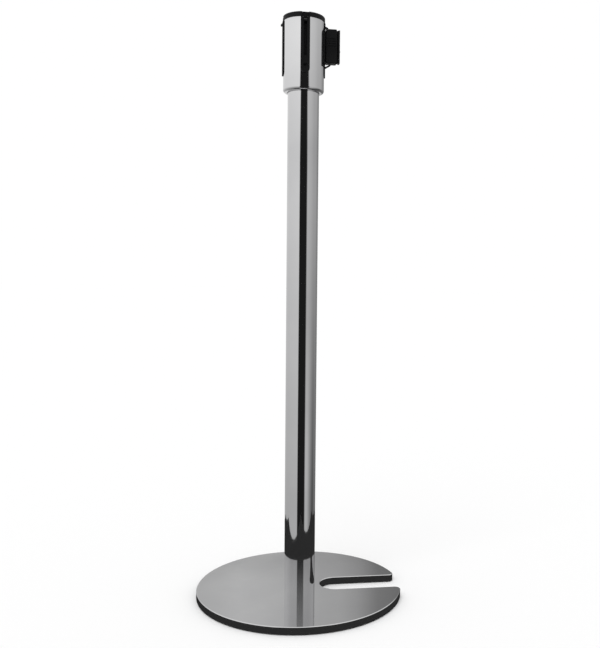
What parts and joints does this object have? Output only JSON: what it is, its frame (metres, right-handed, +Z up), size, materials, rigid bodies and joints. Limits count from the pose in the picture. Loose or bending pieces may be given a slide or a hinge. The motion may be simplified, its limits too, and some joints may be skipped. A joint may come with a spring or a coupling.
{
  "type": "retractable belt stanchion",
  "caption": "Free-standing crowd-control post with a slotted disc base, round polished post and a belt head whose sprung webbing pulls out to a T-head clip.",
  "frame": {"origin": "on the floor, on the post's axis, at the middle of the centre pad's underside", "axes": "+Z up along the post, +X out of the base's nesting slot and along the belt as it is pulled"},
  "size_m": [0.3359, 0.34, 0.946],
  "materials": {
    "polished_steel": "mirror polished stainless steel",
    "rubber": "matt black rubber",
    "zinc_steel": "bright zinc plated steel",
    "cast_aluminium": "fine cast, unpainted",
    "black_moulding": "satin black nylon with a fine grain",
    "catch_moulding": "satin black acetal",
    "clip_moulding": "satin black nylon, polished by hands",
    "black_screw": "blackened steel",
    "acetal": "natural acetal",
    "spring_steel": "blued spring steel",
    "black_webbing": "woven black polyester webbing"
  },
  "bodies": {
    "post": {"base_plate": "polished_steel", "centre_pad": "rubber", "floor_pad_1": "rubber", "floor_pad_2": "rubber", "floor_pad_3": "rubber", "floor_pad_4": "rubber", "base_bolt": "zinc_steel", "base_plug": "zinc_steel", "locating_dowel": "zinc_steel", "post_tube": "polished_steel", "neck_adapter": "cast_aluminium", "neck_collar": "black_moulding", "head_sleeve": "polished_steel", "top_cap": "black_moulding", "cap_screws": "black_screw", "receiver_rear": "black_moulding", "catch_spring_rear": "spring_steel", "receiver_left": "black_moulding", "catch_spring_left": "spring_steel", "receiver_front": "black_moulding", "catch_spring_front": "spring_steel", "belt_mouth": "black_moulding", "rail_screws": "black_screw", "cassette_frame": "black_moulding", "cassette_screws": "zinc_steel", "cassette_deck": "black_moulding", "lower_bush": "acetal", "upper_bush": "acetal", "spring_case": "zinc_steel", "spring_case_lid": "zinc_steel", "power_spring": "spring_steel", "guide_pins": "zinc_steel", "belt_lead_in": "black_webbing"},
    "spool": {"belt_spool": "acetal", "spool_axle": "zinc_steel", "belt_anchor_pin": "zinc_steel", "belt_coil": "black_webbing"},
    "belt_end": {"clip_shell_front": "clip_moulding", "clip_shell_rear": "clip_moulding", "clip_pin": "zinc_steel", "belt_loop": "black_webbing", "clip_dowels": "zinc_steel", "belt_webbing": "black_webbing"},
    "catch_rear_body": {"catch_rear": "catch_moulding"},
    "catch_left_body": {"catch_left": "catch_moulding"},
    "catch_front_body": {"catch_front": "catch_moulding"}
  },
  "joints": [
    {"name": "belt_pull", "type": "slide", "parent": "post", "child": "belt_end", "axis": [1, 0, 0], "range_m": [0, 2], "stiffness_N_per_m": 2.5, "springref_m": -4, "deforming": ["belt_webbing"]},
    {"name": "spool_spin", "type": "hinge", "parent": "post", "child": "spool", "pos_m": [0, 0, 0.9], "axis": [0, 0, 1], "range_deg": [0, 8400], "deforming": ["power_spring"]},
    {"name": "catch_rear_press", "type": "slide", "parent": "post", "child": "catch_rear_body", "axis": [0, -1, 0], "range_m": [0, 0.0076], "stiffness_N_per_m": 250, "springref_m": -0.004, "deforming": ["catch_spring_rear"]},
    {"name": "catch_left_press", "type": "slide", "parent": "post", "child": "catch_left_body", "axis": [1, 0, 0], "range_m": [0, 0.0076], "stiffness_N_per_m": 250, "springref_m": -0.004, "deforming": ["catch_spring_left"]},
    {"name": "catch_front_press", "type": "slide", "parent": "post", "child": "catch_front_body", "axis": [0, 1, 0], "range_m": [0, 0.0076], "stiffness_N_per_m": 250, "springref_m": -0.004, "deforming": ["catch_spring_front"]}
  ],
  "couplings": [
    {"joint": "spool_spin", "follows": "belt_pull", "rad_per_m": 72.9}
  ]
}
